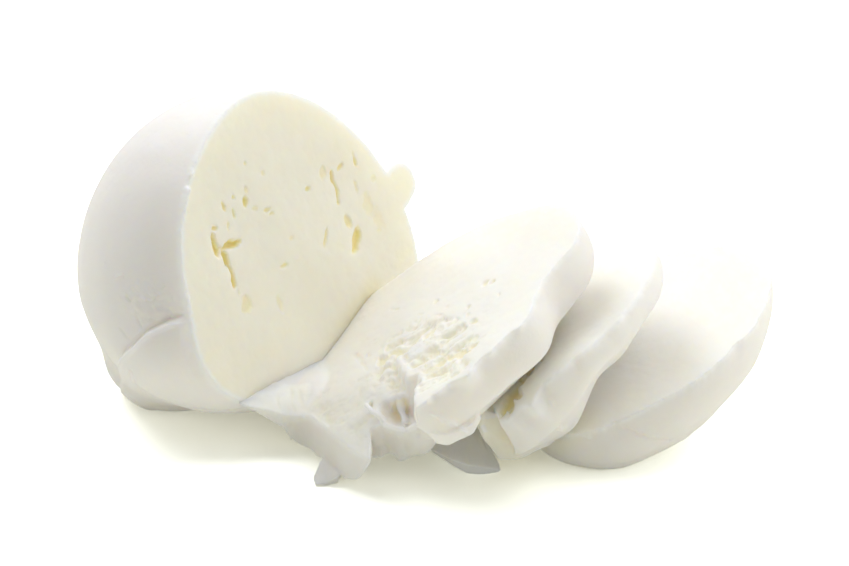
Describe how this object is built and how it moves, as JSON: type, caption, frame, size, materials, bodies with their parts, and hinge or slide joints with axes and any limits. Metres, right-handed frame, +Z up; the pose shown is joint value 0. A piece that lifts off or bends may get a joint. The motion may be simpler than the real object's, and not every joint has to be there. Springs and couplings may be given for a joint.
{
  "type": "sliced mozzarella ball",
  "caption": "Ball of fresh mozzarella cut part of the way through, its slices fanned out beside it, for food displays and table scenes.",
  "frame": {"origin": "on the surface the cheese stands on, under the middle of the whole row", "axes": "+X along the row from the uncut end to the domed end slice, +Z up, -Y is the side the cut faces are seen from"},
  "size_m": [0.1486, 0.0996, 0.0685],
  "materials": {
    "ball_curd": "milky white skin with a soft sheen, and a matt cream cut face with small yellow holes",
    "slice_curd": "soft, nearly white curd, matt on the cut faces and smooth on the rind",
    "wet_curd": "wet, nearly white curd with small highlights"
  },
  "bodies": {
    "root": {"ball": "ball_curd", "slice_1": "slice_curd", "slice_2": "slice_curd", "slice_3": "slice_curd", "torn_shred": "wet_curd"}
  },
  "joints": []
}
